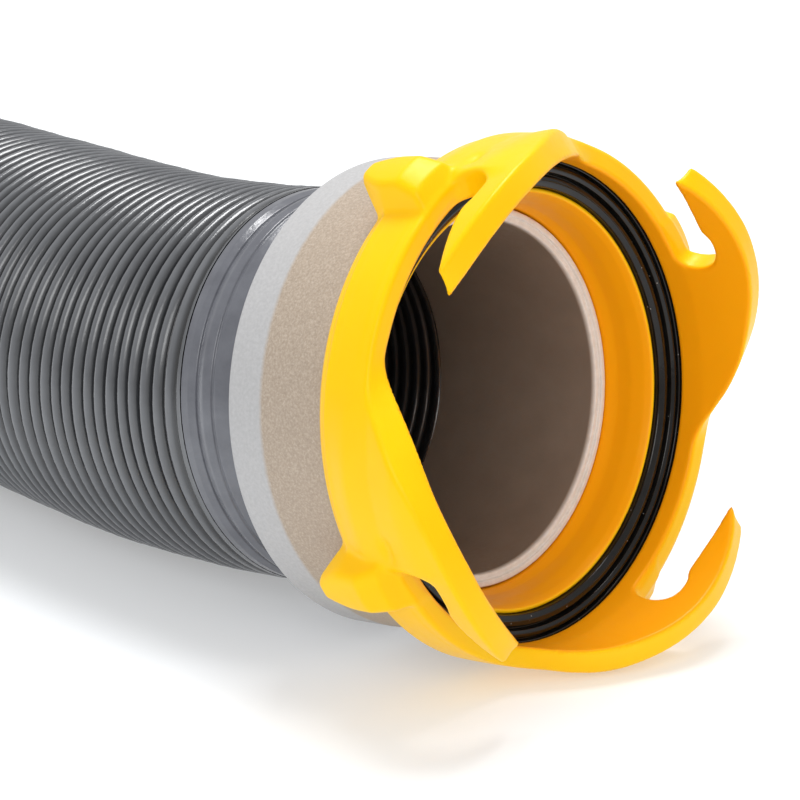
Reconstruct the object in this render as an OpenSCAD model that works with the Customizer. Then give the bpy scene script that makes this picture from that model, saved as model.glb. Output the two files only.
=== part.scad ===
// Extendable 3-inch sewer hose with a swivel bayonet fitting at one end and a
// swivel lug fitting at the other, lying compressed on a flat surface.
//
// Frame: the origin is the centre of the bayonet ring's mouth plane. +X runs
// along the hose's straight run towards that end, and +Z is up. Both fittings
// are wider than the hose, so each one lies tilted, mouth up, and the hose
// turns a little sideways where it leaves the bayonet fitting.

/* [Hose] */
// Outside diameter of the ribbed hose
hose_od = 89; // [80:0.5:92]
// Bore of the ribbed hose, and of the sleeves it meets
hose_id = 76; // [70:0.5:80]
// Length of the ribbed stretch when it is pushed together
hose_length = 820; // [500:10:2000]

/* [Fittings] */
// Angle by which each fitting lies tilted up from the surface
tilt = 7.5; // [5:0.1:9]
// Angle by which the bayonet fitting points sideways from the hose's run
yaw = 8; // [0:0.5:12]
// Outside diameter of the sleeve tube that carries the swivel ring
sleeve_od = 80; // [79:0.1:81]
// Radial running clearance between the sleeve and the swivel ring
swivel_clearance = 0.05; // [0.02:0.01:0.1]
// Distance from the mouth plane back to the end of the sleeve
sleeve_back = 67; // [62:0.5:80]
// Outside diameter of the collar at its back edge
collar_od = 102.4; // [100:0.2:104]
// Thickness of the collar's shell
collar_wall = 3; // [2:0.1:3.4]

/* [Bayonet ring] */
// Outside diameter of the ring's wall and hooks
ring_od = 111.6; // [108:0.2:114]
// Inside diameter of the socket that the mating outlet enters
socket_id = 102; // [101.5:0.1:103]
// Height of a hook above the mouth plane
hook_height = 16.8; // [14:0.2:20]
// Height of the slot under a hook
slot_height = 8.6; // [8:0.1:9]
// Angle at which a slot is closed, seen from the mouth
slot_end_angle = 36; // [34:1:40]
// Angle at which a hook's tip ends
hook_tip_angle = 65; // [60:1:68]
// Height of a grip lug above the axis
grip_reach = 61.6; // [58:0.1:63]
// Width of a grip lug
grip_width = 15; // [12:1:20]
// Angle by which the ring rests turned about its axis
ring_turn = -12; // [-45:1:45]

/* [Lug ring] */
// Outside diameter of the spigot that enters a bayonet socket
spigot_od = 100.6; // [100:0.1:101.2]
// Diameter of each lug pin
lug_pin_d = 7.8; // [7:0.1:8]
// Reach of a lug pin from the axis
lug_reach = 56; // [54:0.5:58]
// Distance from the mouth plane to the spigot's end face
spigot_front = 22; // [20:0.5:26]

/* [Hidden] */

$fn = 96;
hook_count = 4;
hook_pitch = 360 / hook_count;

// Radii
hose_r = hose_od / 2;
bore_r = hose_id / 2;
sleeve_r = sleeve_od / 2;
hub_bore_r = sleeve_r + swivel_clearance;
collar_r = collar_od / 2;
ring_r = ring_od / 2;
socket_r = socket_id / 2;
spigot_r = spigot_od / 2;
flange_r = sleeve_r + 1;
hub_r = sleeve_r + 5.5;

// Stations along a fitting's axis, counted forwards from its mouth plane
rim_z = -19.5;
flange_back_z = -24;
seal_z = -30;
hub_back_z = -36;
collar_front_z = -16.6;
collar_back_z = -45.2;
gasket_face_z = -6;
gasket_floor_z = -13.6;
skirt_z = -16;
cuff_front_z = collar_back_z - 0.2;
cuff_back_z = -sleeve_back;

// Depth of the undercut that holds the gasket in the socket's wall
undercut = 1.4;

// Small radial and axial gaps between neighbouring pieces
part_gap = 0.3;
seat_gap = 0.05;

// Grip lugs: angle of the first one from its hook's root, bevel at the top of
// both long sides, and stations of both ends
grip_angle = 40;
grip_bevel = [3.6, 4.3];
grip_back_z = -20;
grip_front_z = -1;

// Height of the surface that the hose lies on: a ring meets it with the rim of
// its wall or with the back corner of its lowest grip lug
wall_drop = ring_r * cos(tilt) + 9 * sin(tilt);
lug_off = grip_angle + ring_turn;
lug_corner = grip_reach * cos(lug_off) + (grip_width / 2 - grip_bevel[1]) * sin(lug_off);
lug_drop = lug_corner * cos(tilt) - (grip_back_z + 0.15) * sin(tilt);
floor_z = -max(wall_drop, lug_drop);
lie_z = floor_z + hose_r;

// Route of the hose's axis: out of the near cuff, down on to the surface and
// round into its straight run, along it, and up again into the far cuff
near_axis = [cos(tilt) * cos(yaw), cos(tilt) * sin(yaw), sin(tilt)];
far_axis = [-cos(tilt), 0, sin(tilt)];
route_start = -(sleeve_back + seat_gap) * near_axis;
bend_length = 2 * (route_start[2] - lie_z) / tan(tilt);
lie_y = route_start[1] - bend_length / 2 * yaw * PI / 180;
route_end = [route_start[0] - hose_length, lie_y, route_start[2]];
far_mouth = route_end + (sleeve_back + seat_gap) * far_axis;
route = [
    route_start,
    route_start + [-8, -1.06, -1.00],
    route_start + [-16, -1.99, -1.87],
    route_start + [-24, -2.79, -2.63],
    route_start + [-36, -3.77, -3.56],
    route_start + [-48, -4.47, -4.22],
    route_start + [-60, -4.90, -4.62],
    [route_start[0] - bend_length, lie_y, lie_z],
    [-180, lie_y, lie_z],
    [-260, lie_y, lie_z],
    [far_mouth[0] / 2, lie_y, lie_z],
    [far_mouth[0] + 260, lie_y, lie_z],
    [far_mouth[0] + 180, lie_y, lie_z],
    [route_end[0] + bend_length, lie_y, lie_z],
    route_end + [60, 0, -4.62],
    route_end + [48, 0, -4.22],
    route_end + [36, 0, -3.56],
    route_end + [24, 0, -2.63],
    route_end + [16, 0, -1.87],
    route_end + [8, 0, -1.00],
    route_end
];
hose_sides = 12;

function unit(v) = v / norm(v);

// Direction of the route at point i; both ends leave along their sleeve
function route_dir(i) =
    i == 0 ? -near_axis
    : i == len(route) - 1 ? far_axis
    : unit(unit(route[i + 1] - route[i]) + unit(route[i] - route[i - 1]));

// Ring of points of radius r round route point i, with a flat side below
function route_ring(i, r) =
    let (d = route_dir(i), side = unit(cross(d, [0, 0, 1])), top = cross(d, side))
    [for (k = [0 : hose_sides - 1])
        let (a = 360 * (k + 0.5) / hose_sides)
        route[i] + r * (cos(a) * side + sin(a) * top)];

// Puts a fitting, built with its mouth along +Z, 3 o'clock along +X and its
// top along +Y, into its place at the near or far end
module near_end() {
    rotate([0, 0, yaw]) rotate([0, 90 - tilt, 0]) rotate([0, 0, 90]) children();
}

module far_end() {
    translate(far_mouth) rotate([0, 0, 180 - yaw]) near_end() children();
}

// A round piece from its half section of [radius, axial station] points
module turned(section) {
    rotate_extrude($fn = 180) polygon(section);
}

// Height of a hook's front edge at an angle from its root, before its bevel
hook_root_angle = -10;
hook_full_angle = 42;
function hook_crest(a) =
    a <= hook_root_angle ? 0
    : a < hook_full_angle
        ? hook_height * sin(90 * (a - hook_root_angle) / (hook_full_angle - hook_root_angle))
    : hook_height - 4.2 * pow((a - hook_full_angle) / (hook_tip_angle - hook_full_angle), 1.8);

// The front face is bevelled, most of all at the root, so that its outer edge
// lies lower than its inner one
function hook_top(a, outer) =
    outer ? max(0, hook_crest(a) - 1.1 - 3 * max(0, 1 - (a - hook_root_angle) / 34)) : hook_crest(a);

// Lower edge of a hook: buried in the wall at the root, then the slot's roof,
// which lifts towards the tip
function hook_low(a) =
    a < slot_end_angle ? -2
    : slot_height + (a > 50 ? 2.4 * pow((a - 50) / (hook_tip_angle - 50), 1.4) : 0);

// Radii of a hook's two sides, which flare towards its front edge
hook_inner_r = socket_r + 0.3;
hook_outer_r = ring_r - 0.3;
function hook_side(z, outer) =
    outer ? hook_outer_r + 0.142 * max(0, z) : hook_inner_r + 0.082 * max(0, z);

// One hook as a closed shell of four-cornered stations round the axis
module hook() {
    step = 4;
    angles = concat(
        [for (a = [hook_root_angle + 1 : step : slot_end_angle - 2]) a],
        [slot_end_angle - 0.05, slot_end_angle],
        [for (a = [slot_end_angle + step : step : hook_tip_angle - 3]) a],
        [hook_tip_angle - 1.5, hook_tip_angle]);
    n = len(angles);
    points = [for (a = angles) for (corner = [0 : 3])
        let (outer = corner == 1 || corner == 2,
             z = corner < 2 ? hook_low(a) : hook_top(a, outer),
             r = hook_side(z, outer))
        [r * cos(a), r * sin(a), z]];
    sides = [for (i = [0 : n - 2]) for (k = [0 : 3])
        let (j = (k + 1) % 4, p = 4 * i, q = 4 * (i + 1))
        each [[p + k, p + j, q + j], [p + k, q + j, q + k]]];
    last = 4 * (n - 1);
    polyhedron(points, concat(sides, [[0, 2, 1], [0, 3, 2]],
        [[last, last + 1, last + 2], [last, last + 2, last + 3]]));
}

// Grip lug on the outside of a ring, from station z0 to z1, with rounded
// corners and with its long sides bevelled at the top
module grip_lug(z0, z1) {
    corner = 3.5;
    foot = socket_r + undercut + 0.4;
    height = grip_reach - foot;
    half = grip_width / 2;
    intersection() {
        translate([foot, 0, 0]) rotate([0, 90, 0]) {
            translate([-z1, corner - half, 0])
                cube([z1 - z0, grip_width - 2 * corner, height]);
            translate([-z1 + corner, -half, 0])
                cube([z1 - z0 - 2 * corner, grip_width, height]);
            for (x = [-z1 + corner, -z0 - corner], y = [corner - half, half - corner])
                translate([x, y, 0]) cylinder(r = corner, h = height, $fn = 32);
        }
        translate([0, 0, z0 - 1]) linear_extrude(z1 - z0 + 2) polygon([
            [foot - 1, -half - 1],
            [grip_reach - grip_bevel[0], -half - 1],
            [grip_reach - grip_bevel[0], -half],
            [grip_reach, grip_bevel[1] - half],
            [grip_reach, half - grip_bevel[1]],
            [grip_reach - grip_bevel[0], half],
            [grip_reach - grip_bevel[0], half + 1],
            [foot - 1, half + 1]
        ]);
    }
}

module bayonet_ring() {
    lip_r = 45.1;
    color("gold") near_end() rotate([0, 0, ring_turn]) {
        turned([
            [hub_bore_r, hub_back_z],
            [hub_r, hub_back_z],
            [hub_r, skirt_z],
            [ring_r - 2.5, skirt_z],
            [ring_r, -9],
            [ring_r, 0],
            [socket_r, 0],
            [socket_r, gasket_face_z],
            [socket_r + undercut, gasket_face_z],
            [socket_r + undercut, gasket_floor_z],
            [lip_r, gasket_floor_z],
            [lip_r, -8.4],
            [lip_r - 0.9, -8.4],
            [43.4, -11.5],
            [42.3, -15.5],
            [flange_r + part_gap, rim_z],
            [flange_r + part_gap, flange_back_z - part_gap],
            [hub_bore_r, flange_back_z - part_gap]
        ]);
        for (i = [0 : hook_count - 1]) rotate([0, 0, i * hook_pitch]) {
            hook();
            rotate([0, 0, grip_angle]) grip_lug(grip_back_z, grip_front_z);
        }
    }
}

// Face seal in the socket, with three raised rings that meet the outlet
module bayonet_gasket() {
    inner = 45.1 + seat_gap;
    outer = socket_r + undercut - seat_gap;
    back = gasket_floor_z + seat_gap;
    face = gasket_face_z - 1;
    rings = 3;
    pitch = (outer - inner) / rings;
    color("black") near_end() {
        turned([[inner, back], [outer, back], [outer, face], [inner, face - 1.2]]);
        for (k = [0 : rings - 1]) rotate_extrude($fn = 180)
            translate([inner + (k + 0.5) * pitch, face - 0.6 + k * 0.3])
                circle(d = pitch - 0.5, $fn = 24);
    }
}

// Tube of the waterway, with the flange that keeps the swivel ring on, the
// seal's groove and the retaining ring's groove
module sleeve() {
    seal_groove_r = sleeve_r - 1.25;
    ring_groove_r = sleeve_r - 1.05;
    turned([
        [bore_r, cuff_back_z],
        [sleeve_r, cuff_back_z],
        [sleeve_r, hub_back_z - 2.4],
        [ring_groove_r, hub_back_z - 2.4],
        [ring_groove_r, hub_back_z - 0.3],
        [sleeve_r, hub_back_z - 0.3],
        [sleeve_r, seal_z - 0.8],
        [seal_groove_r, seal_z - 0.8],
        [seal_groove_r, seal_z + 0.8],
        [sleeve_r, seal_z + 0.8],
        [sleeve_r, flange_back_z],
        [flange_r, flange_back_z],
        [flange_r, rim_z],
        [flange_r - 1.4, rim_z],
        [flange_r - 1.4, rim_z - 0.6],
        [bore_r + 0.2, rim_z - 0.6],
        [bore_r, rim_z - 1.8]
    ]);
}

// Round-section seal between the sleeve and the swivel ring
module swivel_seal() {
    section_r = 0.6;
    rotate_extrude($fn = 180)
        translate([sleeve_r - section_r, seal_z]) circle(r = section_r, $fn = 24);
}

// Split ring that stops the swivel ring from sliding back
module retaining_ring() {
    gap_angle = 16;
    thickness = 1.9;
    rotate_extrude(angle = 360 - gap_angle, $fn = 180)
        translate([sleeve_r - 1, hub_back_z - 0.35 - thickness]) square([4, thickness]);
}

// Moulded shell that covers the swivel's back end
module collar() {
    back_wall = 3.5;
    inner_r = collar_r - collar_wall;
    turned([
        [collar_r - 0.4, collar_front_z],
        [collar_r, collar_back_z + 9],
        [collar_r, collar_back_z],
        [sleeve_r + seat_gap, collar_back_z],
        [sleeve_r + seat_gap, collar_back_z + back_wall],
        [inner_r, collar_back_z + back_wall],
        [inner_r, collar_front_z - 2],
        [hub_r + 0.5, collar_front_z - 2],
        [hub_r + 0.5, collar_front_z]
    ]);
}

// Soft moulded cuff on the hose's end, drawn over the sleeve
module cuff() {
    bead_r = hose_r - 0.3;
    waist_r = hose_r - 1.4;
    turned([
        [sleeve_r + seat_gap, cuff_back_z],
        [bead_r, cuff_back_z],
        [bead_r, cuff_back_z + 3],
        [waist_r + 0.5, cuff_back_z + 4.5],
        [waist_r + 0.8, cuff_back_z + 7],
        [waist_r - 0.3, cuff_back_z + 12],
        [waist_r - 0.5, cuff_front_z],
        [sleeve_r + seat_gap, cuff_front_z]
    ]);
}

module bayonet_sleeve() {
    color("tan") near_end() sleeve();
}

module bayonet_swivel_seal() {
    color("black") near_end() swivel_seal();
}

module bayonet_retaining_ring() {
    color("silver") near_end() retaining_ring();
}

module bayonet_collar() {
    color("tan") near_end() collar();
}

module bayonet_cuff() {
    color("slategray") near_end() cuff();
}

// Ribbed hose as one hollow tube along its route
module hose() {
    flat = cos(180 / hose_sides);
    rings = len(route);
    outer = [for (i = [0 : rings - 1]) each route_ring(i, hose_r / flat)];
    inner = [for (i = [0 : rings - 1]) each route_ring(i, bore_r / flat)];
    m = hose_sides;
    base = len(outer);
    outside = [for (i = [0 : rings - 2]) for (k = [0 : m - 1])
        let (j = (k + 1) % m, p = i * m, q = (i + 1) * m)
        each [[p + k, p + j, q + j], [p + k, q + j, q + k]]];
    inside = [for (f = outside) [base + f[0], base + f[2], base + f[1]]];
    front = [for (k = [0 : m - 1])
        let (j = (k + 1) % m)
        each [[k, base + j, j], [k, base + k, base + j]]];
    last = (rings - 1) * m;
    back = [for (f = front) [last + f[0], last + f[2], last + f[1]]];
    color("gray") polyhedron(concat(outer, inner), concat(outside, inside, front, back));
}

module lug_cuff() {
    color("slategray") far_end() cuff();
}

module lug_collar() {
    color("tan") far_end() collar();
}

module lug_retaining_ring() {
    color("silver") far_end() retaining_ring();
}

module lug_swivel_seal() {
    color("black") far_end() swivel_seal();
}

module lug_sleeve() {
    color("tan") far_end() sleeve();
}

// Swivel ring with a spigot and lug pins that lock into a bayonet ring
module lug_ring() {
    pin_z = spigot_front - 10.4;
    land_z = -4;
    waist_r = spigot_r - 2;
    color("gold") far_end() rotate([0, 0, ring_turn]) {
        turned([
            [hub_bore_r, hub_back_z],
            [hub_r, hub_back_z],
            [hub_r, skirt_z],
            [ring_r - 2.5, skirt_z],
            [ring_r, -9],
            [ring_r, land_z],
            [waist_r, land_z],
            [waist_r, pin_z + lug_pin_d / 2 + 0.2],
            [spigot_r, pin_z + lug_pin_d / 2 + 0.2],
            [spigot_r, spigot_front - 1],
            [spigot_r - 1, spigot_front],
            [45, spigot_front],
            [44.2, spigot_front - 1],
            [44.2, -11],
            [flange_r + part_gap, rim_z],
            [flange_r + part_gap, flange_back_z - part_gap],
            [hub_bore_r, flange_back_z - part_gap]
        ]);
        for (i = [0 : hook_count - 1]) rotate([0, 0, grip_angle + i * hook_pitch]) {
            translate([46, 0, pin_z]) rotate([0, 90, 0])
                cylinder(d = lug_pin_d, h = lug_reach - 46, $fn = 48);
            grip_lug(grip_back_z, land_z);
        }
    }
}

bayonet_ring();
bayonet_gasket();
bayonet_sleeve();
bayonet_swivel_seal();
bayonet_retaining_ring();
bayonet_collar();
bayonet_cuff();
hose();
lug_cuff();
lug_collar();
lug_retaining_ring();
lug_swivel_seal();
lug_sleeve();
lug_ring();
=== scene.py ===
import math

import bpy
import numpy as np
from mathutils import Matrix, Vector


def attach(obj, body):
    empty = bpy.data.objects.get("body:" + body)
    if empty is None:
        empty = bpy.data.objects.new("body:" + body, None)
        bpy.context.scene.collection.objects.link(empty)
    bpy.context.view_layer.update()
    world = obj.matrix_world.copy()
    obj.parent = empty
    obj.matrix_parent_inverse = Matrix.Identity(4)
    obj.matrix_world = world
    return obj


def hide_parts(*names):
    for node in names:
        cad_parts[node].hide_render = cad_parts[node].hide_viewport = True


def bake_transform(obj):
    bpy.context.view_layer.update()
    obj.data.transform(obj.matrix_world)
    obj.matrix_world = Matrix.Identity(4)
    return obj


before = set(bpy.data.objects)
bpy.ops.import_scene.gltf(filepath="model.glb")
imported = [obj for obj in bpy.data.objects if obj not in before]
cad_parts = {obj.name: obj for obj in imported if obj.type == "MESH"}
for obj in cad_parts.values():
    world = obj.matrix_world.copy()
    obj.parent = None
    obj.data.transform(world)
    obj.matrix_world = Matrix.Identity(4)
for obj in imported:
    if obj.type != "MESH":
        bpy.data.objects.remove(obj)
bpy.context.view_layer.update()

MM = 0.001

# ---------------------------------------------------------------- sizes, mm
TILT, YAW = 7.5, 8.0
SLEEVE_BACK = 67.05
HOSE_LENGTH = 820.0
HOSE_R, BORE_R = 44.5, 38.0
COLLAR_R, RING_R, SOCKET_R = 51.2, 55.8, 51.0
TURN = -12.0
LIE_Z = -13.504663
FLOOR_Z = -58.004663
ct, st = math.cos(math.radians(TILT)), math.sin(math.radians(TILT))
cy, sy = math.cos(math.radians(YAW)), math.sin(math.radians(YAW))
NEAR_AXIS = np.array([ct * cy, ct * sy, st])
FAR_AXIS = np.array([-ct, 0, st])
START = -SLEEVE_BACK * NEAR_AXIS
BEND = 2 * (START[2] - LIE_Z) / math.tan(math.radians(TILT))
LIE_Y = START[1] - BEND / 2 * math.radians(YAW)
END = np.array([START[0] - HOSE_LENGTH, LIE_Y, START[2]])
FAR_MOUTH = END + SLEEVE_BACK * FAR_AXIS

NEAR = (Matrix.Rotation(math.radians(YAW), 4, "Z")
        @ Matrix.Rotation(math.radians(90 - TILT), 4, "Y")
        @ Matrix.Rotation(math.radians(90), 4, "Z"))
FAR = (Matrix.Translation(Vector(FAR_MOUTH * MM))
       @ Matrix.Rotation(math.radians(180 - YAW), 4, "Z") @ NEAR)

# ---------------------------------------------------------------- camera
cam = bpy.data.objects.new("camera", bpy.data.cameras.new("camera"))
bpy.context.scene.collection.objects.link(cam)
cam.location = (0.41444, -0.37941, 0.1661)
cam.rotation_euler = Vector((-0.7435, 0.60612, -0.2826)).to_track_quat("-Z", "Y").to_euler()
cam.data.sensor_width = 36.0
cam.data.lens = 126.0
cam.data.clip_start, cam.data.clip_end = 0.01, 50
bpy.context.scene.camera = cam


# ---------------------------------------------------------------- mesh tools
def make_object(name, verts_mm, faces, matrix=None, mats=(), body=None,
                attributes=None, sharp=None, material_index=None):
    """A mesh object from vertices in mm and an array of quads, or a list of faces."""
    verts = np.asarray(verts_mm, float) * MM
    if matrix is not None:
        m = np.array(matrix)
        verts = verts @ m[:3, :3].T + m[:3, 3]
    me = bpy.data.meshes.new(name)
    if isinstance(faces, np.ndarray):
        n = len(faces)
        me.vertices.add(len(verts))
        me.vertices.foreach_set("co", verts.astype(np.float32).ravel())
        me.loops.add(faces.size)
        me.loops.foreach_set("vertex_index", faces.astype(np.int32).ravel())
        me.polygons.add(n)
        me.polygons.foreach_set("loop_start", np.arange(n, dtype=np.int32) * faces.shape[1])
        me.update(calc_edges=True)
        me.validate()
    else:
        me.from_pydata(verts.tolist(), [], faces)
        me.update()
    me.polygons.foreach_set("use_smooth", np.ones(len(me.polygons), bool))
    for key, values in (attributes or {}).items():
        values = np.asarray(values, np.float32)
        kind = "FLOAT" if values.ndim == 1 else "FLOAT_VECTOR"
        layer = me.attributes.new(key, kind, "POINT")
        layer.data.foreach_set("value" if values.ndim == 1 else "vector", values.ravel())
    for m in mats:
        me.materials.append(m)
    if material_index is not None:
        me.polygons.foreach_set("material_index", material_index.astype(np.int32))
    if sharp is not None:
        me.set_sharp_from_angle(angle=math.radians(sharp))
    ob = bpy.data.objects.new(name, me)
    bpy.context.scene.collection.objects.link(ob)
    if body:
        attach(ob, body)
    return ob


def rounded(points, segments=4):
    """A closed outline whose points (x, y, radius) are rounded by their radius."""
    out, n = [], len(points)
    for i, p in enumerate(points):
        r = p[2] if len(p) > 2 else 0.25
        a = np.array(points[i - 1][:2], float)
        b = np.array(p[:2], float)
        c = np.array(points[(i + 1) % n][:2], float)
        u, v = (a - b), (c - b)
        lu, lv = np.linalg.norm(u), np.linalg.norm(v)
        u, v = u / lu, v / lv
        half = math.acos(np.clip(u @ v, -1, 1)) / 2
        if r <= 0 or half > math.radians(87):
            out.append(b)
            continue
        cut = min(r / math.tan(half), lu * 0.45, lv * 0.45)
        r = cut * math.tan(half)
        centre = b + (u + v) / np.linalg.norm(u + v) * (r / math.sin(half))
        a0, a1 = b + u * cut, b + v * cut
        out.append(a0 + u * min(cut * 0.35, lu * 0.04))
        t0 = math.atan2(*(a0 - centre)[::-1])
        t1 = math.atan2(*(a1 - centre)[::-1])
        d = (t1 - t0 + math.pi) % (2 * math.pi) - math.pi
        for k in range(segments + 1):
            t = t0 + d * k / segments
            out.append(centre + r * np.array([math.cos(t), math.sin(t)]))
        out.append(a1 + v * min(cut * 0.35, lv * 0.04))
    return np.array(out)


def turned(name, outline, matrix, mats, body, count=224, marks=None, wobble=None):
    """A round piece from its closed half section of (radius, station) points."""
    p = np.asarray(outline, float)
    m = len(p)
    ang = np.arange(count) * 2 * math.pi / count
    r = np.repeat(p[None, :, 0], count, 0)
    z = np.repeat(p[None, :, 1], count, 0)
    if wobble is not None:
        r, z = wobble(ang[:, None], r, z)
    verts = np.stack([r * np.cos(ang)[:, None], r * np.sin(ang)[:, None], z], 2).reshape(-1, 3)
    i, j = np.meshgrid(np.arange(count), np.arange(m), indexing="ij")
    i2, j2 = (i + 1) % count, (j + 1) % m
    quads = np.stack([i * m + j, i2 * m + j, i2 * m + j2, i * m + j2], 2).reshape(-1, 4)
    area = 0.5 * np.sum(p[:, 0] * np.roll(p[:, 1], -1) - np.roll(p[:, 0], -1) * p[:, 1])
    if area > 0:
        quads = quads[:, ::-1]
    if marks:
        marks = {k: np.repeat(f(p[:, 0], p[:, 1])[None], count, 0).ravel()
                 for k, f in marks.items()}
    marks = dict(marks or {})
    marks["place"] = verts
    return make_object(name, verts, quads, matrix, mats, body, marks)


def polygon_distance(x, y, poly):
    """Signed distance, negative inside, of points to a closed outline."""
    x, y = np.asarray(x, float), np.asarray(y, float)
    shape = x.shape
    x, y = x.ravel(), y.ravel()
    best = np.full(len(x), 1e9)
    inside = np.zeros(len(x), bool)
    q = np.roll(poly, -1, 0)
    for (ax, ay), (bx, by) in zip(poly, q):
        ex, ey = bx - ax, by - ay
        wx, wy = x - ax, y - ay
        length = ex * ex + ey * ey
        t = np.clip((wx * ex + wy * ey) / max(length, 1e-12), 0, 1)
        best = np.minimum(best, (wx - ex * t) ** 2 + (wy - ey * t) ** 2)
        if ay != by:
            crosses = (ay > y) != (by > y)
            inside ^= crosses & (x < ex * (y - ay) / (by - ay) + ax)
    d = np.sqrt(best)
    return np.where(inside, -d, d).reshape(shape)


class Table:
    """Bilinear look-up of an outline's distance; period wraps the first coordinate."""
    def __init__(self, poly, x0, x1, y0, y1, step=0.25, period=None):
        self.x0, self.y0, self.period = x0, y0, period
        self.nx = int(round((x1 - x0) / step)) + 1
        self.ny = int(round((y1 - y0) / step)) + 1
        self.sx, self.sy = (x1 - x0) / (self.nx - 1), (y1 - y0) / (self.ny - 1)
        gx, gy = np.meshgrid(x0 + self.sx * np.arange(self.nx),
                             y0 + self.sy * np.arange(self.ny), indexing="ij")
        self.d = polygon_distance(gx, gy, poly)

    def __call__(self, x, y):
        if self.period:
            x = self.x0 + (x - self.x0) % self.period
        fx = np.clip((x - self.x0) / self.sx, 0, self.nx - 1.001)
        fy = np.clip((y - self.y0) / self.sy, 0, self.ny - 1.001)
        i, j = fx.astype(int), fy.astype(int)
        u, v = fx - i, fy - j
        d = self.d
        return ((d[i, j] * (1 - u) + d[i + 1, j] * u) * (1 - v)
                + (d[i, j + 1] * (1 - u) + d[i + 1, j + 1] * u) * v)


def smooth_union(a, b, k):
    h = np.clip(0.5 + 0.5 * (b - a) / k, 0, 1)
    return b + (a - b) * h - k * h * (1 - h)


def smooth_cut(a, b, k):
    """a without b."""
    return -smooth_union(-a, b, k)


def prism(d2, across, r):
    """Distance to an outline's prism whose edges are rounded by r."""
    w1, w2 = d2 + r, across + r
    return (np.minimum(np.maximum(w1, w2), 0)
            + np.sqrt(np.maximum(w1, 0) ** 2 + np.maximum(w2, 0) ** 2) - r)


def ring_net(field, r0, r1, z0, z1, step, radius):
    """Quads of the surface field(angle, r, z) = 0 round the axis, by surface nets."""
    na = int(round(2 * math.pi * radius / step / 8)) * 8
    nr, nz = int((r1 - r0) / step) + 1, int((z1 - z0) / step) + 1
    A = np.arange(na) * 2 * math.pi / na
    R = np.linspace(r0, r1, nr)
    Z = np.linspace(z0, z1, nz)
    F = np.empty((na, nr, nz), np.float32)
    for i in range(0, na, 64):
        a, r, z = np.meshgrid(A[i:i + 64], R, Z, indexing="ij")
        F[i:i + 64] = field(a, r, z)
    G = np.concatenate([F, F[:1]], 0)
    inside = G < 0
    total = np.zeros((na, nr - 1, nz - 1), np.int8)
    for di in (0, 1):
        for dj in (0, 1):
            for dk in (0, 1):
                total += inside[di:di + na, dj:dj + nr - 1, dk:dk + nz - 1]
    active = (total > 0) & (total < 8)
    number = np.full(active.shape, -1, np.int64)
    ci, cj, ck = np.nonzero(active)
    number[active] = np.arange(len(ci))
    corners = [(0, 0, 0), (1, 0, 0), (0, 1, 0), (1, 1, 0), (0, 0, 1), (1, 0, 1), (0, 1, 1), (1, 1, 1)]
    value = [G[ci + a, cj + b, ck + c].astype(float) for a, b, c in corners]
    where = np.zeros((len(ci), 3))
    count = np.zeros(len(ci))
    for p in range(8):
        for q in range(p + 1, 8):
            if sum(abs(a - b) for a, b in zip(corners[p], corners[q])) != 1:
                continue
            cross = (value[p] < 0) != (value[q] < 0)
            t = np.where(cross, value[p] / np.where(cross, value[p] - value[q], 1), 0)
            pos = np.array(corners[p]) + t[:, None] * (np.array(corners[q]) - np.array(corners[p]))
            where += np.where(cross[:, None], pos, 0)
            count += cross
    where /= count[:, None]
    a = (ci + where[:, 0]) * 2 * math.pi / na
    r = R[0] + (cj + where[:, 1]) * (R[1] - R[0])
    z = Z[0] + (ck + where[:, 2]) * (Z[1] - Z[0])
    e = 0.05
    for _ in range(3):
        f = field(a, r, z)
        ga = (field(a + e / r, r, z) - field(a - e / r, r, z)) / (2 * e)
        gr = (field(a, r + e, z) - field(a, r - e, z)) / (2 * e)
        gz = (field(a, r, z + e) - field(a, r, z - e)) / (2 * e)
        g2 = np.maximum(ga * ga + gr * gr + gz * gz, 0.25)
        move = np.clip(f / g2, -step * 0.6, step * 0.6)
        a, r, z = a - move * ga / r, r - move * gr, z - move * gz
    quads = []
    # faces round each grid edge that crosses the surface
    s = inside[:-1] != inside[1:]
    i, j, k = np.nonzero(s[:, 1:-1, 1:-1]); j += 1; k += 1
    q = np.stack([number[i, j - 1, k - 1], number[i, j, k - 1], number[i, j, k], number[i, j - 1, k]], 1)
    flip = ~inside[:-1][i, j, k]
    q[flip] = q[flip][:, ::-1]
    quads.append(q)
    ins = inside[:-1]
    s = ins[:, :-1] != ins[:, 1:]
    i, j, k = np.nonzero(s[:, :, 1:-1]); k += 1
    im = (i - 1) % na
    q = np.stack([number[im, j, k - 1], number[im, j, k], number[i, j, k], number[i, j, k - 1]], 1)
    flip = ~ins[i, j, k]
    q[flip] = q[flip][:, ::-1]
    quads.append(q)
    s = ins[:, :, :-1] != ins[:, :, 1:]
    i, j, k = np.nonzero(s[:, 1:-1, :]); j += 1
    im = (i - 1) % na
    q = np.stack([number[im, j - 1, k], number[i, j - 1, k], number[i, j, k], number[im, j, k]], 1)
    flip = ~ins[i, j, k]
    q[flip] = q[flip][:, ::-1]
    quads.append(q)
    quads = np.concatenate(quads)
    verts = np.stack([r * np.cos(a), r * np.sin(a), z], 1)
    p = verts[quads]
    volume = np.einsum("ij,ij->", p[:, 0], np.cross(p[:, 1], p[:, 2])) + np.einsum(
        "ij,ij->", p[:, 0], np.cross(p[:, 2], p[:, 3]))
    if volume < 0:
        quads = quads[:, ::-1]
    return verts, quads


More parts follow.
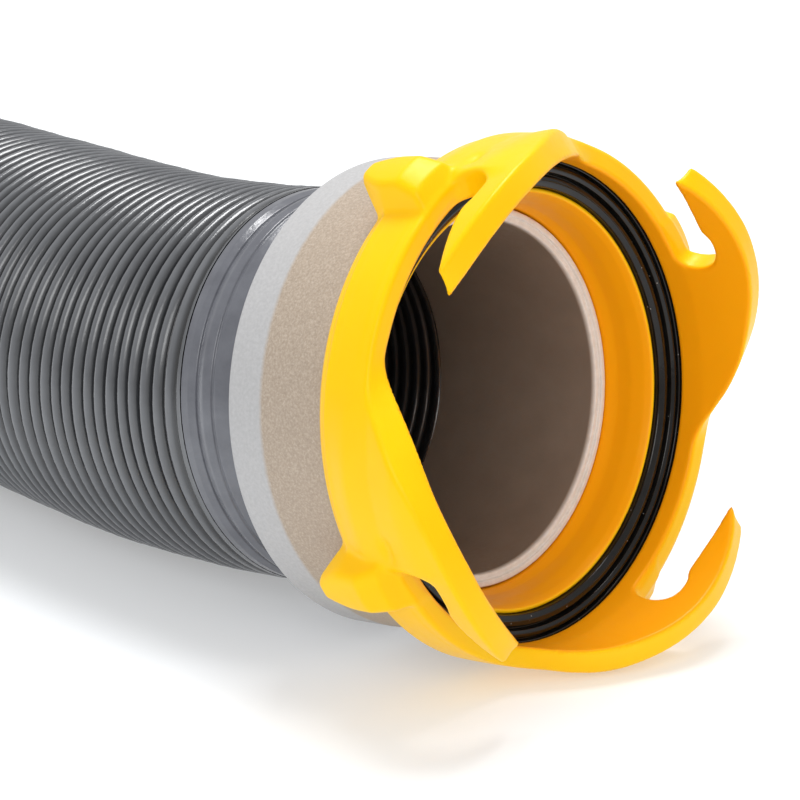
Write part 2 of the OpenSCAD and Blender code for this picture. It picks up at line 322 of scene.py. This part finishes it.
def spline(points, per=8, closed=False):
    """Catmull-Rom curve through the points."""
    p = np.asarray(points, float)
    if closed:
        p = np.concatenate([p[-1:], p, p[:2]])
    else:
        p = np.concatenate([[2 * p[0] - p[1]], p, [2 * p[-1] - p[-2]]])
    out = []
    for i in range(1, len(p) - 2):
        for k in range(per):
            t = k / per
            out.append(0.5 * ((2 * p[i]) + (p[i + 1] - p[i - 1]) * t
                              + (2 * p[i - 1] - 5 * p[i] + 4 * p[i + 1] - p[i + 2]) * t * t
                              + (3 * p[i] - p[i - 1] - 3 * p[i + 1] + p[i + 2]) * t ** 3))
    if not closed:
        out.append(p[-2])
    return np.array(out)


# ---------------------------------------------------------------- materials
def new_material(name, colour, rough, **sockets):
    m = bpy.data.materials.new(name)
    m.use_nodes = True
    b = m.node_tree.nodes["Principled BSDF"]
    b.inputs["Base Color"].default_value = (*colour, 1)
    b.inputs["Roughness"].default_value = rough
    for key, value in sockets.items():
        b.inputs[key.replace("_", " ")].default_value = value
    m.diffuse_color = (*colour, 1)
    return m


def add(m, kind, inputs=None, **props):
    n = m.node_tree.nodes.new(kind)
    for k, v in props.items():
        setattr(n, k, v)
    for k, v in (inputs or {}).items():
        if isinstance(v, bpy.types.NodeSocket):
            m.node_tree.links.new(v, n.inputs[k])
        else:
            n.inputs[k].default_value = v
    return n


def place(m):
    """A point of the piece in its fitting's own frame, in mm."""
    return add(m, "ShaderNodeAttribute", attribute_name="place").outputs["Vector"]


def mark(m, name):
    return add(m, "ShaderNodeAttribute", attribute_name=name).outputs["Fac"]


def noise(m, where, scale, detail=3.0, rough=0.5, out="Fac"):
    n = add(m, "ShaderNodeTexNoise", {"Vector": where, "Scale": scale, "Detail": detail,
                                      "Roughness": rough})
    return n.outputs[out]


def ramp(m, fac, stops):
    n = add(m, "ShaderNodeValToRGB", {"Fac": fac})
    e = n.color_ramp.elements
    while len(e) < len(stops):
        e.new(0.5)
    for s, (pos, value) in zip(e, stops):
        s.position = pos
        s.color = (*value, 1) if hasattr(value, "__len__") else (value, value, value, 1)
    return n.outputs["Color"]


def mix(m, fac, a, b, blend="MIX"):
    n = m.node_tree.nodes.new("ShaderNodeMix")
    n.data_type = "RGBA"
    n.blend_type = blend
    for socket, v in ((n.inputs[0], fac), (n.inputs[6], a), (n.inputs[7], b)):
        if isinstance(v, bpy.types.NodeSocket):
            m.node_tree.links.new(v, socket)
        else:
            socket.default_value = (*v, 1) if hasattr(v, "__len__") else v
    return n.outputs[2]


def calc(m, op, a, b=0.0, c=0.0, clamp=False):
    return add(m, "ShaderNodeMath", {0: a, 1: b, 2: c}, operation=op, use_clamp=clamp).outputs[0]


def bump(m, height, strength, distance, normal=None):
    inputs = {"Height": height, "Strength": strength, "Distance": distance}
    if normal is not None:
        inputs["Normal"] = normal
    return add(m, "ShaderNodeBump", inputs).outputs["Normal"]


def drive(m, socket, value):
    m.node_tree.links.new(value, m.node_tree.nodes["Principled BSDF"].inputs[socket])


def yellow_plastic():
    m = new_material("yellow_plastic", (0.97, 0.55, 0.001), 0.36, Subsurface_Weight=0.10,
                     Subsurface_Radius=(1.0, 0.35, 0.02), Subsurface_Scale=0.0015,
                     Specular_IOR_Level=0.26, Specular_Tint=(1.0, 0.85, 0.45, 1))
    p = place(m)
    cloud = noise(m, p, 0.045, 2)
    base = ramp(m, cloud, [(0.3, (0.98, 0.54, 0.0006)), (0.7, (0.995, 0.575, 0.0015))])
    scuff = ramp(m, noise(m, p, 0.55, 6, 0.7), [(0.62, 0), (0.72, 1)])
    base = mix(m, calc(m, "MULTIPLY", scuff, 0.08), base, (1.0, 0.64, 0.05))
    # faces that look towards the axis are painted a deeper orange: painted bounce light and shade between the ring's
    # walls
    base = mix(m, calc(m, "MULTIPLY", mark(m, "inside"), 0.8), base, (1.0, 0.35, 0.004))
    drive(m, "Base Color", base)
    drive(m, "Roughness", ramp(m, noise(m, p, 0.5, 5, 0.65), [(0.3, 0.29), (0.75, 0.42)]))
    fine = noise(m, p, 2.4, 4, 0.6)
    wave = noise(m, p, 0.12, 2)
    drive(m, "Normal", bump(m, fine, 0.08, 0.00012, bump(m, wave, 0.25, 0.0006)))
    return m


def black_rubber(name="black_rubber", dust=True):
    m = new_material(name, (0.008, 0.007, 0.006), 0.12, Specular_IOR_Level=0.32)
    p = place(m)
    base = ramp(m, noise(m, p, 0.3, 4), [(0.3, (0.004, 0.0037, 0.0034)), (0.75, (0.010, 0.009, 0.008))])
    if dust:
        cell = add(m, "ShaderNodeTexVoronoi", {"Vector": p, "Scale": 0.34, "Randomness": 1.0},
                   feature="F1")
        speck = ramp(m, cell.outputs["Distance"], [(0.035, 1), (0.07, 0)])
        base = mix(m, calc(m, "MULTIPLY", speck, 0.35), base, (0.55, 0.53, 0.5))
    drive(m, "Base Color", base)
    drive(m, "Roughness", ramp(m, noise(m, p, 0.7, 5, 0.7), [(0.35, 0.07), (0.8, 0.22)]))
    drive(m, "Normal", bump(m, noise(m, p, 0.9, 4, 0.6), 0.25, 0.00012))
    return m


def taupe_plastic():
    """Spark-eroded taupe, with a smooth pale grey band where mark 'band' is 1."""
    m = new_material("taupe_plastic", (0.45, 0.36, 0.275), 0.55, Specular_IOR_Level=0.4)
    p = place(m)
    band = calc(m, "ADD", mark(m, "band"), calc(m, "MULTIPLY", calc(m, "SUBTRACT", noise(m, p, 0.9, 4, 0.7), 0.5), 0.16))
    band = ramp(m, band, [(0.38, 0), (0.62, 1)])
    grain = noise(m, p, 1.9, 4, 0.6)
    coarse = noise(m, p, 0.8, 3, 0.6)
    taupe = ramp(m, grain, [(0.30, (0.315, 0.25, 0.19)), (0.52, (0.40, 0.325, 0.255)), (0.72, (0.51, 0.43, 0.35))])
    taupe = mix(m, calc(m, "MULTIPLY", coarse, 0.25), taupe, (0.42, 0.34, 0.262))
    grey = ramp(m, noise(m, p, 1.4, 4, 0.6), [(0.3, (0.40, 0.397, 0.40)), (0.7, (0.47, 0.467, 0.47))])
    drive(m, "Base Color", mix(m, band, taupe, grey))
    drive(m, "Roughness", ramp(m, grain, [(0.3, 0.46), (0.7, 0.66)]))
    texture = calc(m, "MULTIPLY", grain, ramp(m, band, [(0.0, 1.0), (1.0, 0.35)]))
    drive(m, "Normal", bump(m, texture, 0.5, 0.00022))
    return m


def sleeve_plastic():
    """Smooth bore, its colour darkened as painted shade inside the sleeve; mark 'rim' makes the cream front rim."""
    m = new_material("sleeve_plastic", (0.27, 0.22, 0.17), 0.42, Specular_IOR_Level=0.45,
                     Subsurface_Weight=0.1, Subsurface_Radius=(1, 0.8, 0.6), Subsurface_Scale=0.002)
    p = place(m)
    rim = mark(m, "rim")
    painted_bore_shade = ramp(m, noise(m, p, 0.12, 4, 0.6), [(0.25, (0.225, 0.175, 0.135)), (0.75, (0.26, 0.205, 0.16))])
    cream = ramp(m, noise(m, p, 0.6, 4, 0.6), [(0.3, (0.70, 0.655, 0.60)), (0.7, (0.80, 0.755, 0.70))])
    # the cream rim is the plastic's own colour; the dark taupe elsewhere is painted shade of the deep bore
    drive(m, "Base Color", mix(m, rim, painted_bore_shade, cream))
    drive(m, "Roughness", ramp(m, noise(m, p, 0.8, 5, 0.7), [(0.3, 0.36), (0.75, 0.52)]))
    drive(m, "Normal", bump(m, noise(m, p, 1.8, 4, 0.6), 0.12, 0.00015))
    return m


def vinyl(name, low, high, rough_low, rough_high, spec=0.5):
    m = new_material(name, high, rough_low, Specular_IOR_Level=spec)
    p = place(m)
    tone = noise(m, p, 0.16, 4, 0.6)
    drive(m, "Base Color", ramp(m, tone, [(0.25, low), (0.75, high)]))
    drive(m, "Roughness", ramp(m, noise(m, p, 0.45, 5, 0.7), [(0.3, rough_low), (0.75, rough_high)]))
    drive(m, "Normal", bump(m, noise(m, p, 0.5, 4, 0.6), 0.2, 0.0003))
    return m


def hose_vinyl():
    """Mark 'crest' is 1 on a rib's crest and 0 in its groove, where the colour is painted near black as shade between
    the ribs.
    """
    m = new_material("hose_vinyl", (0.1, 0.105, 0.115), 0.25, Specular_IOR_Level=0.85)
    p = place(m)
    crest = mark(m, "crest")
    worn = noise(m, p, 0.05, 5, 0.65)
    rib = ramp(m, worn, [(0.3, (0.078, 0.082, 0.090)), (0.7, (0.115, 0.120, 0.130))])
    # grooves painted near black: painted shade between the ribs
    painted_groove_shade = ramp(m, crest, [(0.15, 0.0), (0.70, 0.40), (0.97, 1.0)])
    drive(m, "Base Color", mix(m, painted_groove_shade, (0.006, 0.0065, 0.0075), rib))
    drive(m, "Roughness", ramp(m, noise(m, p, 0.35, 5, 0.7), [(0.3, 0.17), (0.75, 0.28)]))
    drive(m, "Normal", bump(m, noise(m, p, 0.7, 4, 0.6), 0.15, 0.0002))
    return m


def steel():
    m = new_material("retaining_steel", (0.56, 0.56, 0.57), 0.3, Metallic=1.0)
    coords = add(m, "ShaderNodeTexCoord").outputs["Object"]
    drive(m, "Roughness", ramp(m, noise(m, coords, 900, 5, 0.7), [(0.3, 0.24), (0.75, 0.42)]))
    drive(m, "Base Color", ramp(m, noise(m, coords, 300, 4), [(0.3, (0.5, 0.5, 0.51)), (0.7, (0.6, 0.6, 0.61))]))
    return m


def seal_rubber():
    m = new_material("seal_rubber", (0.012, 0.012, 0.012), 0.45)
    coords = add(m, "ShaderNodeTexCoord").outputs["Object"]
    drive(m, "Base Color", ramp(m, noise(m, coords, 400, 4), [(0.3, (0.009, 0.009, 0.009)), (0.7, (0.02, 0.02, 0.02))]))
    drive(m, "Roughness", ramp(m, noise(m, coords, 900, 5), [(0.3, 0.38), (0.7, 0.55)]))
    return m


YELLOW = yellow_plastic()
BLACK = black_rubber()
TAUPE = taupe_plastic()
SLEEVE = sleeve_plastic()
CUFF = vinyl("cuff_vinyl", (0.095, 0.098, 0.115), (0.135, 0.14, 0.16), 0.14, 0.24, 0.75)
HOSE = hose_vinyl()
LINING = vinyl("lining_vinyl", (0.010, 0.010, 0.011), (0.024, 0.025, 0.026), 0.16, 0.26, 0.8)
STEEL = steel()
SEAL = seal_rubber()

# ---------------------------------------------------------------- hose
ROUTE = [START] + [START + np.array(d) for d in (
    (-8, -1.06, -1.00), (-16, -1.99, -1.87), (-24, -2.79, -2.63), (-36, -3.77, -3.56),
    (-48, -4.47, -4.22), (-60, -4.90, -4.62))] + [np.array(p) for p in (
        (START[0] - BEND, LIE_Y, LIE_Z), (-180, LIE_Y, LIE_Z), (-260, LIE_Y, LIE_Z),
        (FAR_MOUTH[0] / 2, LIE_Y, LIE_Z), (FAR_MOUTH[0] + 260, LIE_Y, LIE_Z),
        (FAR_MOUTH[0] + 180, LIE_Y, LIE_Z), (END[0] + BEND, LIE_Y, LIE_Z))] + [
    END + np.array(d) for d in (
        (60, 0, -4.62), (48, 0, -4.22), (36, 0, -3.56), (24, 0, -2.63), (16, 0, -1.87),
        (8, 0, -1.00))] + [END]


def eased(at, u, v, first, last):
    """A smooth curve through the points (u, v) that never runs past them."""
    s = np.diff(v) / np.diff(u)
    slope = np.zeros(len(u))
    both = s[:-1] * s[1:]
    slope[1:-1] = np.where(both > 1e-12, 2 * both / np.where(np.abs(s[:-1] + s[1:]) > 1e-9, s[:-1] + s[1:], 1), 0)
    slope[0], slope[-1] = first, last
    i = np.clip(np.searchsorted(u, at) - 1, 0, len(u) - 2)
    h = u[i + 1] - u[i]
    t = (at - u[i]) / h
    return (v[i] * (1 + 2 * t) * (1 - t) ** 2 + slope[i] * h * t * (1 - t) ** 2
            + v[i + 1] * t * t * (3 - 2 * t) - slope[i + 1] * h * t * t * (1 - t))


def centreline(step=2.0):
    """The hose's axis as closely spaced points, and each point's length along it."""
    route = np.array(ROUTE)
    u = START[0] - route[:, 0]
    at = np.linspace(0, u[-1], int(u[-1] / step) + 1)
    points = np.stack([START[0] - at] + [
        eased(at, u, route[:, k], -NEAR_AXIS[k] / NEAR_AXIS[0], FAR_AXIS[k] / -FAR_AXIS[0]) for k in (1, 2)], 1)
    length = np.concatenate([[0], np.cumsum(np.linalg.norm(np.diff(points, axis=0), axis=1))])
    return points, length


LINE, ALONG = centreline()
TOTAL = ALONG[-1]
TANGENT = np.gradient(LINE, axis=0)
TANGENT /= np.linalg.norm(TANGENT, axis=1)[:, None]
TANGENT[0], TANGENT[-1] = -NEAR_AXIS, FAR_AXIS


def on_hose(s, theta, r):
    """Points at length s, angle theta and radius r of the hose."""
    p = np.stack([np.interp(s, ALONG, LINE[:, k]) for k in range(3)], -1)
    t = np.stack([np.interp(s, ALONG, TANGENT[:, k]) for k in range(3)], -1)
    side = np.stack([t[..., 1], -t[..., 0], np.zeros_like(t[..., 0])], -1)
    side /= np.linalg.norm(side, axis=-1)[..., None]
    up = np.cross(side, t)
    return p + r[..., None] * (np.cos(theta)[..., None] * side + np.sin(theta)[..., None] * up)


PITCH = 3.8


def helix_wall(name, pitch, per_turn, around, profile, plain_r, mats, inner, lead_in=0.0):
    """A ribbed wall wound as one helix, closed by a plain tube on its other side."""
    turns = int(TOTAL / pitch) + 2
    k = np.arange(-per_turn, turns * per_turn + 1)
    theta = np.arange(around) * 2 * math.pi / around
    K, T = np.meshgrid(k, theta, indexing="ij")
    s = pitch * (K / per_turn + T / (2 * math.pi))
    # small unevenness of the winding
    s2 = s + 0.25 * np.sin(2 * math.pi * s / 61 + 0.7) + 0.16 * np.sin(2 * math.pi * s / 23.7 + T + 2.0)
    s2 += 0.10 * np.sin(2 * math.pi * s / 11.3 + 2 * T)
    s2 = np.clip(s2, 0, TOTAL)
    phase = (K % per_turn) / per_turn
    r, crest = profile(phase)
    if not inner:
        # the first and last grooves run out against the cuffs
        ends = np.clip(np.minimum(s2, TOTAL - s2) / 9, 0, 1)
        r = HOSE_R - (HOSE_R - r) * ends
        r = r + 0.06 * np.sin(2 * math.pi * s / 37 + 1.3 + T) + 0.05 * np.sin(2 * math.pi * s / 14.9 + 3 * T)
    verts = on_hose(s2, T, r)
    n, m = K.shape
    verts = verts.reshape(-1, 3)
    i, j = np.meshgrid(np.arange(n - 1), np.arange(m), indexing="ij")
    i, j = i.ravel(), j.ravel()
    last = j == m - 1
    # going once round moves one turn along
    shift = np.where(last, per_turn, 0)
    ok = i + 1 + shift < n
    i, j, shift, last = i[ok], j[ok], shift[ok], last[ok]
    j2 = np.where(last, 0, j + 1)
    quads = np.stack([i * m + j, (i + 1) * m + j, (i + 1 + shift) * m + j2, (i + shift) * m + j2], 1)
    sv = s2.reshape(-1)
    flat = (sv[quads].max(1) - sv[quads].min(1)) < 1e-6
    quads = quads[~flat]
    if inner:
        quads = quads[:, ::-1]
    used = np.unique(quads)
    remap = np.full(len(verts), -1)
    remap[used] = np.arange(len(used))
    quads = remap[quads]
    verts, crest, sv = verts[used], crest.reshape(-1)[used], sv[used]
    tv = T.reshape(-1)[used]
    where = np.stack([sv, HOSE_R * np.cos(tv), HOSE_R * np.sin(tv)], 1)
    # the other side: a plain tube
    rings = 120
    s3 = np.linspace(0, TOTAL, rings)
    S, T3 = np.meshgrid(s3, theta, indexing="ij")
    plain = on_hose(S, T3, np.full(S.shape, plain_r)).reshape(-1, 3)
    i, j = np.meshgrid(np.arange(rings - 1), np.arange(around), indexing="ij")
    j2 = (j + 1) % around
    b = len(verts)
    pq = np.stack([b + i * around + j, b + i * around + j2, b + (i + 1) * around + j2,
                   b + (i + 1) * around + j], 2).reshape(-1, 4)
    if inner:
        pq = pq[:, ::-1]
    w3 = np.stack([S.ravel(), plain_r * np.cos(T3.ravel()), plain_r * np.sin(T3.ravel())], 1)
    return (np.concatenate([verts, plain]), np.concatenate([quads, pq]),
            {"crest": np.concatenate([crest, np.zeros(len(plain))]),
             "place": np.concatenate([where, w3])})


def outer_profile(t):
    """Radius and crest mark across one rib; the groove is at 0 and 1."""
    u = np.abs(t - 0.5) * 2
    shape = np.sqrt(np.clip(1 - (u / 0.86) ** 2, 0, 1))
    return HOSE_R - 3.2 + 3.2 * shape ** 0.7, shape


def inner_profile(t):
    u = np.abs(t - 0.5) * 2
    shape = np.sqrt(np.clip(1 - (u / 0.95) ** 2, 0, 1))
    return 39.9 - 1.5 * shape, shape


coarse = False
v, q, marks = helix_wall("hose", PITCH, 8 if coarse else 10, 48 if coarse else 72, outer_profile, 40.9, (HOSE,), False)
hose = make_object("hose_wall", v, q, None, (HOSE,), None, marks)
v, q, marks = helix_wall("lining", PITCH, 5, 40 if coarse else 56, inner_profile, 40.7, (LINING,), True)
lining = make_object("hose_lining", v, q, None, (LINING,), None, marks)
for piece in (hose, lining):
    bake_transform(piece)
    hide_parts("hose")

# ---------------------------------------------------------------- fitting pieces
def band_mark(r, z):
    """1 on the collar's smooth back band."""
    return 1 / (1 + np.exp((z + 35.9) / 0.35))


def collar_outline():
    c = COLLAR_R
    return rounded([
        (c - 0.5, -16.6, 0.8), (c - 0.1, -33.0, 2.0), (c, -36.2, 1.0), (c, -45.2, 1.0), (40.05, -45.2, 0.3),
        (40.05, -41.7, 0.2), (c - 3, -41.7, 0.5), (c - 3, -18.6, 0.3), (46.0, -18.6, 0.2), (46.0, -16.6, 0.3)])


def cuff_outline():
    return rounded([
        (40.05, -67, 0.2), (44.35, -67, 0.25), (44.35, -64.8, 0.9), (43.7, -63.1, 0.25), (43.0, -62.8, 0.2),
        (43.65, -62.3, 0.4), (44.3, -60.3, 1.6), (43.8, -58.3, 0.3), (43.35, -58.0, 0.2), (43.4, -57.3, 0.5),
        (42.0, -53.4, 3.0), (41.8, -50.6, 2.5), (42.6, -47.3, 2.0), (42.7, -45.4, 0.4), (40.05, -45.4, 0.2)], 5)


def sleeve_outline():
    return rounded([
        (38, -67, 0.2), (40, -67, 0.2), (40, -38.4, 0.1), (38.95, -38.4, 0.1), (38.95, -36.3, 0.1), (40, -36.3, 0.1),
        (40, -30.8, 0.1), (38.75, -30.8, 0.1), (38.75, -29.2, 0.1), (40, -29.2, 0.1), (40, -24, 0.1), (41, -24, 0.2),
        (41, -19.5, 0.5), (39.65, -19.5, 0.3), (39.5, -20.15, 0.2), (38.35, -20.15, 0.35), (38.0, -21.4, 0.6)])


def gasket_outline():
    """A broad inner band, a groove, a raised ring and a thin outer lip."""
    return rounded([
        (45.15, -13.5, 0.3), (52.35, -13.5, 0.3), (52.35, -6.2, 0.1), (50.75, -6.3, 0.25), (50.55, -7.6, 0.15),
        (50.25, -7.6, 0.15), (50.1, -6.5, 0.5), (49.2, -6.15, 0.6), (48.45, -6.7, 0.4), (48.3, -8.3, 0.2),
        (47.9, -8.3, 0.2), (47.7, -7.1, 0.5), (46.4, -6.9, 1.0), (45.3, -7.6, 0.6), (45.15, -8.6, 0.2)], 5)


for matrix, prefix, body in ((NEAR, "bayonet", "bayonet_end"), (FAR, "lug", "lug_end")):
    collar = turned(prefix + "_collar_shell", collar_outline(), matrix, (TAUPE,), body,
                    marks={"band": band_mark})
    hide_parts(prefix + "_collar")
    cuff = turned(prefix + "_hose_cuff", cuff_outline(), matrix, (CUFF,), body)
    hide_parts(prefix + "_cuff")
    # off the rim the sleeve takes the bore's painted shade
    tube = turned(prefix + "_waterway_sleeve", sleeve_outline(), matrix, (SLEEVE,), body,
                  marks={"rim": lambda r, z: ((z > -21.2) & (r > 37.9)).astype(float)})
    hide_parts(prefix + "_sleeve")

gasket = turned("bayonet_face_gasket", gasket_outline(), NEAR, (BLACK,), "bayonet_swivel_ring",
                count=256)
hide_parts("bayonet_gasket")

# ---------------------------------------------------------------- swivel rings
MID_R, WALL = (SOCKET_R + RING_R) / 2, (RING_R - SOCKET_R) / 2
RAD = math.pi / 180


def hook_outline(rise, tip, roof):
    """Look-up of the wall's front outline with its hooks, from (angle, station) points."""
    one = np.concatenate([spline(rise, 6), tip, spline(roof, 6)])
    top = np.concatenate([one + np.array([90.0 * k, 0]) for k in (-1, 0, 1, 2)])
    closed = np.concatenate([top, [[top[-1, 0], -60], [top[0, 0], -60]]]) * np.array([RAD * MID_R, 1])
    return Table(closed, 0, 90 * RAD * MID_R, -12, 24, 0.2, 90 * RAD * MID_R)


RIM = -1.2
CLOSED_END = [(39.5, 9.5), (37.4, 8.5), (36.1, 6.8), (35.6, 4.8), (35.7, 2.8), (36.3, 0.9), (37.9, -0.7),
              (40.5, RIM), (50, RIM), (62, RIM), (73.9, RIM)]
INNER_OUTLINE = hook_outline(
    [(-16, RIM), (-10, RIM), (-6, 0.2), (-2, 2.8), (3, 6.0), (7.5, 8.4), (12, 10.4), (20, 13.0), (28, 15.3),
     (36, 16.7), (44, 16.9), (52, 16.2), (59, 14.8), (63.5, 13.3)],
    [(65.5, 12.6), (65.9, 12.1), (65.4, 11.6)],
    [(64, 11.2), (59, 10.3), (54, 9.4), (50, 8.9), (47, 8.7), (45.5, 9.0), (44, 9.6), (42, 9.8)] + CLOSED_END)
OUTER_OUTLINE = hook_outline(
    [(-16, RIM), (-8, RIM), (-3, -1.0), (1, 0.4), (5, 2.9), (8.5, 4.9), (12, 6.9), (20, 11.2), (28, 14.0),
     (36, 15.4), (44, 15.8), (52, 15.0), (58, 13.9), (61.3, 13.1)],
    [(62.6, 12.6), (62.7, 12.2), (62.3, 11.8)],
    [(61, 11.5), (58, 10.7), (54, 9.7), (50, 8.9), (47, 8.6), (45.5, 8.9), (44, 9.4), (42, 9.6)] + CLOSED_END)

BODY_SECTION = rounded([
    (40.05, -36, 0.3), (45.5, -36, 0.4), (45.5, -17.2, 0.3), (46.4, -16.4, 0.3), (52.9, -16.4, 0.5), (53.9, -15.2, 1.0),
    (RING_R - 0.3, -10, 3.0), (RING_R - 0.3, -4, 0.3), (SOCKET_R, -4, 0.2), (SOCKET_R, -6, 0.1), (52.4, -6.1, 0.1),
    (52.4, -13.6, 0.1), (45.1, -13.6, 0.1), (45.1, -8.9, 0.4), (44.2, -8.3, 0.5), (43.35, -10.4, 1.5), (42.6, -13.5, 3.0),
    (42.2, -17.0, 2.0), (41.4, -19.3, 0.3), (41.3, -24.3, 0.1), (40.05, -24.3, 0.1)])
BODY_TABLE = Table(BODY_SECTION, 38, 64, -40, 24, 0.2)

KNOB_TABLE = Table(rounded([
    (52.8, -14.6, 0.1), (53.5, -15.6, 0.5), (59.2, -20.0, 0.8), (61.0, -19.5, 0.9), (61.5, -8.2, 1.6),
    (59.4, -3.4, 1.6), (55.4, RIM, 0.6), (52.8, RIM, 0.1)]), 44, 70, -30, 10, 0.2)


def angle_from(a, centre):
    return (a - centre + math.pi) % (2 * math.pi) - math.pi


def knob(table, a, r, z, centre):
    """A grip lug: its sides slope in towards its top and its nose."""
    u = angle_from(a, centre) * r
    half = 4.9 + 0.36 * (61 - r) - 2.6 * np.clip((-12.5 - z) / 7, 0, 1) ** 1.5
    return prism(table(r + 0.012 * u ** 2, z), (np.abs(u) - half) * 0.94, 1.2)


def step_up(x, low, high):
    t = np.clip((x - low) / (high - low), 0, 1)
    return t * t * (3 - 2 * t)


def bayonet_field(a, r, z):
    turned_a = a - TURN * RAD
    along = turned_a % (2 * math.pi) * MID_R
    # the wall flares towards the hooks' front edge, and stands proud at each hook's root
    angle = (turned_a / RAD + 16) % 90 - 16
    rise, end, tine = step_up(angle, -12, 6), 1 - step_up(angle, 34.5, 38.5), step_up(z, 1, 4)
    hook = rise * np.maximum(end, tine)
    pad = step_up(angle, -8, 20) * end * step_up(z, -13, -6) * (1 - step_up(z, 5, 15))
    dimple = np.exp(-((angle - 30) / 2.6) ** 2 - ((z - 0.4) / 1.5) ** 2)
    inner = SOCKET_R + 0.082 * np.maximum(z, 0) + 2.4 * np.clip((-5.6 - z) / 0.8, 0, 1)
    outer = RING_R - 0.3 + hook * (0.3 + 0.142 * np.maximum(z, 0)) + 1.4 * pad - 0.7 * dimple
    share = np.clip((r - inner) / (outer - inner), 0, 1)
    d2 = INNER_OUTLINE(along, z) * (1 - share) + OUTER_OUTLINE(along, z) * share
    wall = prism(np.maximum(d2, -13 - z), np.abs(r - (inner + outer) / 2) - (outer - inner) / 2, 0.75)
    d = smooth_union(wall, BODY_TABLE(r, z), 0.25)
    near = np.full(np.shape(d), 99.0)
    for k in range(4):
        near = np.minimum(near, knob(KNOB_TABLE, turned_a, r, z, (40 + 90 * k) * RAD))
    d = smooth_union(d, near, 1.1)
    # the socket stays round
    return np.maximum(d, -np.maximum(r - SOCKET_R, -6.0 - z))


def facing_in(v, q):
    """How far each point's surface faces the axis, from 0 to 1; this masks the orange bounce light painted on the
    rings' inward faces.
    """
    n = np.cross(v[q[:, 2]] - v[q[:, 0]], v[q[:, 3]] - v[q[:, 1]])
    total = np.zeros_like(v)
    for k in range(4):
        np.add.at(total, q[:, k], n)
    radial = np.hypot(v[:, 0], v[:, 1])
    inward = -(total[:, 0] * v[:, 0] + total[:, 1] * v[:, 1]) / radial
    return np.clip(inward / np.maximum(np.linalg.norm(total, axis=1), 1e-9) * 1.4, 0, 1)


STEP = 1.1 if coarse else 0.6
v, q = ring_net(bayonet_field, 39.2, 62.8, -37.2, 18.6, STEP, RING_R)
# mark 'inside' carries the painted orange bounce light on the ring's inward faces
ring = make_object("bayonet_ring_moulding", v, q, NEAR, (YELLOW,), "bayonet_swivel_ring",
                   {"place": v, "inside": facing_in(v, q)})
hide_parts("bayonet_ring")

LUG_SECTION = rounded([
    (40.05, -36, 0.3), (45.5, -36, 0.4), (45.5, -17.2, 0.3), (46.4, -16.4, 0.3), (52.9, -16.4, 0.5), (53.9, -15.2, 1.0),
    (RING_R, -9, 3.0), (RING_R, -4, 0.9), (48.3, -4, 0.8), (48.3, 15.3, 0.4), (50.3, 15.9, 0.3), (50.3, 21.2, 0.5),
    (49.5, 22, 0.6), (45, 22, 0.7), (44.2, 21.0, 0.6), (44.2, -11, 2.0), (42.2, -17, 2.0), (41.4, -19.3, 0.3),
    (41.3, -24.3, 0.1), (40.05, -24.3, 0.1)])
LUG_TABLE = Table(LUG_SECTION, 38, 64, -40, 26, 0.2)
LUG_KNOB = Table(rounded([
    (52.8, -14.6, 0.1), (53.5, -15.6, 0.5), (58.6, -19.8, 1.3), (60.7, -19.3, 1.4), (61.2, -10.5, 3.0),
    (59.2, -6.2, 2.0), (55.2, -4.0, 0.6), (52.8, -4.0, 0.1)]), 44, 70, -30, 10, 0.2)


def lug_field(a, r, z):
    turned_a = a - TURN * RAD
    d = LUG_TABLE(r, z)
    near = np.full(np.shape(d), 99.0)
    pins = near
    for k in range(4):
        near = np.minimum(near, knob(LUG_KNOB, turned_a, r, z, (40 + 90 * k) * RAD))
        u = angle_from(turned_a, (40 + 90 * k) * RAD) * r
        pin = prism(np.sqrt(u ** 2 + (z - 11.6) ** 2) - 3.9, np.abs(r - 50.5) - 5.5, 0.7)
        pins = np.minimum(pins, pin)
    d = smooth_union(d, near, 1.1)
    return smooth_union(d, pins, 0.5)


v, q = ring_net(lug_field, 39.2, 62.8, -37.2, 23.4, 1.3 if coarse else 0.75, RING_R)
# mark 'inside' carries the painted orange bounce light on the ring's inward faces
lug_ring = make_object("lug_ring_moulding", v, q, FAR, (YELLOW,), "lug_swivel_ring",
                       {"place": v, "inside": facing_in(v, q)})
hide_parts("lug_ring")

for name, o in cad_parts.items():
    if o.hide_render:
        continue
    o.data.materials.clear()
    o.data.materials.append(STEEL if "retaining" in name else SEAL)

# ---------------------------------------------------------------- floor, light
floor_me = bpy.data.meshes.new("floor")
f = FLOOR_Z * MM
floor_me.from_pydata([(-9, -9, f), (9, -9, f), (9, 9, f), (-9, 9, f)], [], [(0, 1, 2, 3)])
floor = bpy.data.objects.new("floor", floor_me)
bpy.context.scene.collection.objects.link(floor)
floor_me.materials.append(new_material("pale_floor", (0.66, 0.68, 0.70), 0.6, Specular_IOR_Level=0.2,
                                       Emission_Color=(1, 1, 1, 1), Emission_Strength=0.34))

world = bpy.data.worlds.new("studio")
bpy.context.scene.world = world
world.use_nodes = True
world.node_tree.nodes["Background"].inputs["Color"].default_value = (1, 1, 1, 1)
world.node_tree.nodes["Background"].inputs["Strength"].default_value = 0.66


def soft_light(name, where, to, size, power, colour=(1, 1, 1)):
    data = bpy.data.lights.new(name, "AREA")
    data.shape, data.size, data.size_y = "RECTANGLE", size[0], size[1]
    data.energy, data.color = power, colour
    ob = bpy.data.objects.new(name, data)
    bpy.context.scene.collection.objects.link(ob)
    ob.location = where
    ob.rotation_euler = (Vector(to) - Vector(where)).to_track_quat("-Z", "Y").to_euler()


soft_light("key", (-0.3, 0.22, 1.3), (-0.08, 0, 0), (0.6, 0.6), 15)
soft_light("front", (1.0, -1.2, 0.9), (-0.05, 0, 0), (1.1, 0.7), 9)

view = bpy.context.scene.view_settings
view.view_transform = "Standard"
